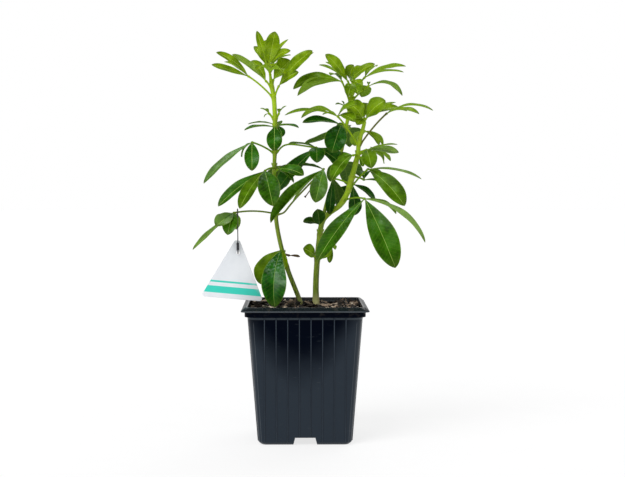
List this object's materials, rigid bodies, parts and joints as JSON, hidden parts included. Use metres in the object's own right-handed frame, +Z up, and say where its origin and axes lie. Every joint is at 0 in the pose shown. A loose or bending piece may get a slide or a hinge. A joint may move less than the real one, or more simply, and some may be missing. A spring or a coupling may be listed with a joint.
{
  "type": "potted mexican orange",
  "caption": "Young potted mexican orange shrub: slender leafy stems of glossy divided leaves in bark soil, in a square ribbed nursery pot, with a wired bare tag.",
  "frame": {"origin": "middle of the pot's underside, on the surface that the pot stands on", "axes": "+X to the right seen from the front, +Y to the back, +Z up"},
  "size_m": [0.1918, 0.1297, 0.3286],
  "materials": {
    "pot": "black satin plastic",
    "soil": "rough bark chips",
    "stem": "green to woody bark",
    "old_leaf": "deep green glossy leaf",
    "middle_leaf": "green glossy leaf",
    "young_leaf": "yellow green glossy leaf",
    "tag": "white satin plastic",
    "wire": "dark coated wire"
  },
  "bodies": {
    "root": {"branch_leaf_1_back": "old_leaf", "branch_leaf_2_back": "middle_leaf", "branch_leaf_2_west": "middle_leaf", "branch_leaf_3_east": "young_leaf", "branch_leaf_3_front": "young_leaf", "branch_leaf_3_west": "young_leaf", "branch_leaf_4_east": "young_leaf", "branch_leaf_4_west": "young_leaf", "branch_tip": "young_leaf", "branch_twig_3": "middle_leaf", "left_leaf_0_front": "old_leaf", "left_leaf_1_east": "old_leaf", "left_leaf_1_west": "old_leaf", "left_leaf_2_back": "old_leaf", "left_leaf_2_east": "old_leaf", "left_leaf_2_front": "old_leaf", "left_leaf_3_east": "middle_leaf", "left_leaf_3_west": "middle_leaf", "left_leaf_4_back": "middle_leaf", "left_leaf_4_front": "middle_leaf", "left_leaf_5_east": "young_leaf", "left_leaf_5_west": "young_leaf", "left_leaf_6_back": "young_leaf", "left_leaf_6_east": "young_leaf", "left_leaf_6_front": "young_leaf", "left_leaf_6_west": "young_leaf", "left_shoot_4_east": "young_leaf", "left_shoot_4_west": "young_leaf", "left_stem": "stem", "left_tip": "young_leaf", "left_twig_0": "old_leaf", "pot": "pot", "right_leaf_0_east": "old_leaf", "right_leaf_0_west": "old_leaf", "right_leaf_1_front": "old_leaf", "right_leaf_1_west": "old_leaf", "right_leaf_2_back": "old_leaf", "right_leaf_2_east": "old_leaf", "right_leaf_2_side": "old_leaf", "right_leaf_2_west": "old_leaf", "right_leaf_3_back": "middle_leaf", "right_leaf_3_east": "middle_leaf", "right_leaf_3_west": "middle_leaf", "right_leaf_4_back": "young_leaf", "right_leaf_4_east": "young_leaf", "right_leaf_4_west": "young_leaf", "right_stem": "stem", "right_tip": "young_leaf", "right_twig_3": "middle_leaf", "soil": "soil", "tag": "tag", "tag_wire": "wire"}
  },
  "joints": []
}
